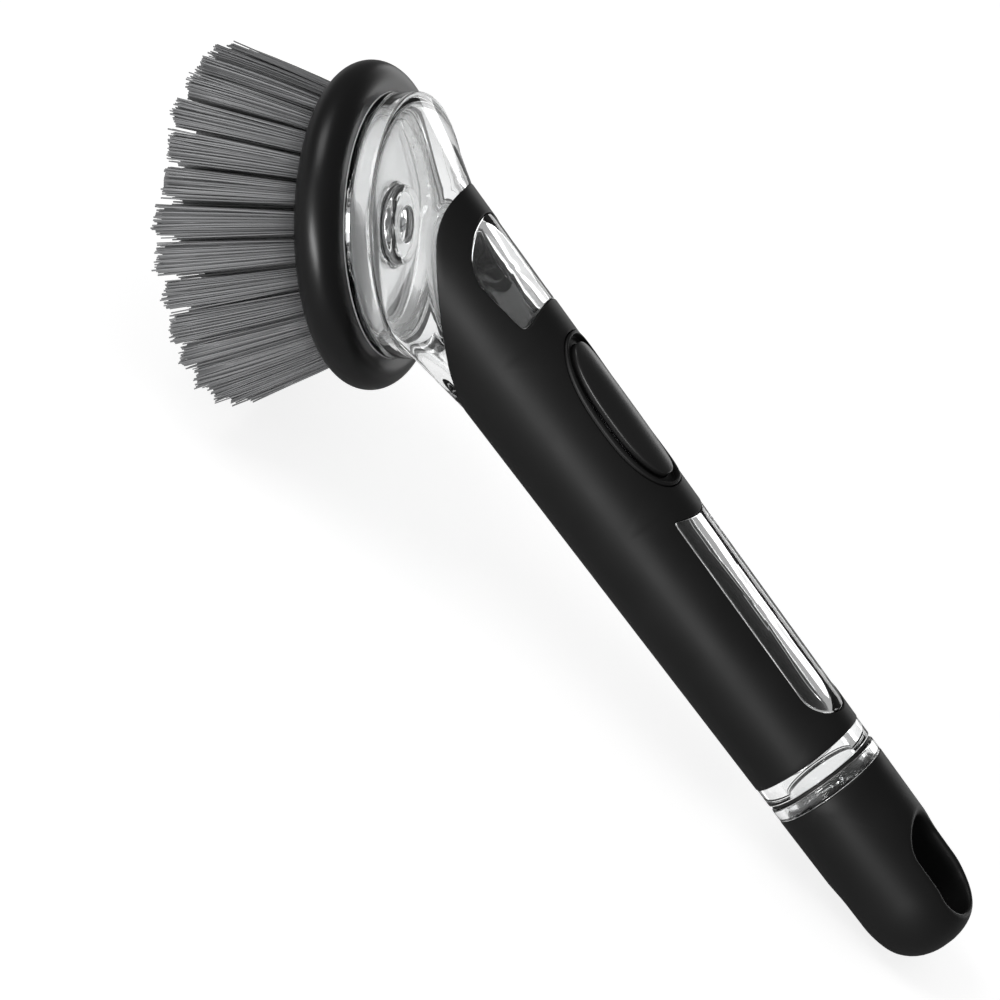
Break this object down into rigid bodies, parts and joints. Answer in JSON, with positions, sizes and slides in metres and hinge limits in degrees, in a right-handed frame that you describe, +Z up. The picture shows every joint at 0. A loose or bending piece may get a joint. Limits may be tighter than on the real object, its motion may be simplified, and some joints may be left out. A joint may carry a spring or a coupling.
{
  "type": "dish wand",
  "caption": "Soap-dispensing dish wand: round brush head on a clear angled soap tube, black grip with thumb pump button, screw-on tail cap with hanging hole.",
  "frame": {"origin": "bottom centre of the bounding box, on the surface that the wand lies on", "axes": "+X along the wand towards the tail cap, +Y across it, +Z up; XZ is the plane that the wand is symmetrical about"},
  "size_m": [0.2582, 0.0813, 0.0838],
  "materials": {
    "clear_plastic": "polished, transparent",
    "soft_black_rubber": "fine matt, soft to the touch",
    "black_plastic": "satin",
    "gloss_black_plastic": "semi-gloss",
    "grey_bristle": "drawn nylon, satin",
    "silicone": "translucent, matt",
    "black_seal": "matt",
    "spring_steel": "drawn wire"
  },
  "bodies": {
    "body": {"reservoir": "clear_plastic", "grip_sleeve": "soft_black_rubber", "button_bezel": "black_plastic", "pump_bellows": "silicone", "return_spring": "spring_steel", "outlet_valve": "silicone", "valve_retainer": "black_plastic"},
    "button": {"button_pad": "soft_black_rubber", "button_carrier": "black_plastic"},
    "cap_seal": {"cap_gasket": "black_seal"},
    "cap": {"cap_collar": "clear_plastic", "cap_cover": "soft_black_rubber", "vent_valve": "silicone"},
    "head_ring": {"head_seal": "silicone"},
    "brush_head": {"spout_seal": "silicone", "brush_plate": "black_plastic", "rim_bumper": "gloss_black_plastic", "bristles_outer_row": "grey_bristle", "bristles_second_row": "grey_bristle", "bristles_third_row": "grey_bristle", "bristles_inner_row": "grey_bristle"}
  },
  "joints": [
    {"name": "button_press", "type": "slide", "parent": "body", "child": "button", "axis": [-0.2517, 0, -0.9678], "range_m": [0, 0.002], "stiffness_N_per_m": 1500, "deforming": ["pump_bellows", "return_spring"]},
    {"name": "cap_lift", "type": "slide", "parent": "body", "child": "cap_seal", "axis": [0.9678, 0, -0.2517], "range_m": [0, 0.0061]},
    {"name": "cap_turn", "type": "hinge", "parent": "cap_seal", "child": "cap", "pos_m": [0.08074, 0, 0.02256], "axis": [0.9678, 0, -0.2517], "range_deg": [0, 270]},
    {"name": "head_drop", "type": "slide", "parent": "body", "child": "head_ring", "axis": [-0.7382, 0, -0.6746], "range_m": [0, 0.0046]},
    {"name": "head_turn", "type": "hinge", "parent": "head_ring", "child": "brush_head", "pos_m": [-0.07538, 0, 0.05429], "axis": [-0.7382, 0, -0.6746], "range_deg": [0, 45]}
  ],
  "couplings": [
    {"joint": "cap_lift", "follows": "cap_turn", "m_per_rad": 0.0012732},
    {"joint": "head_drop", "follows": "head_turn", "m_per_rad": 0.0057296}
  ]
}
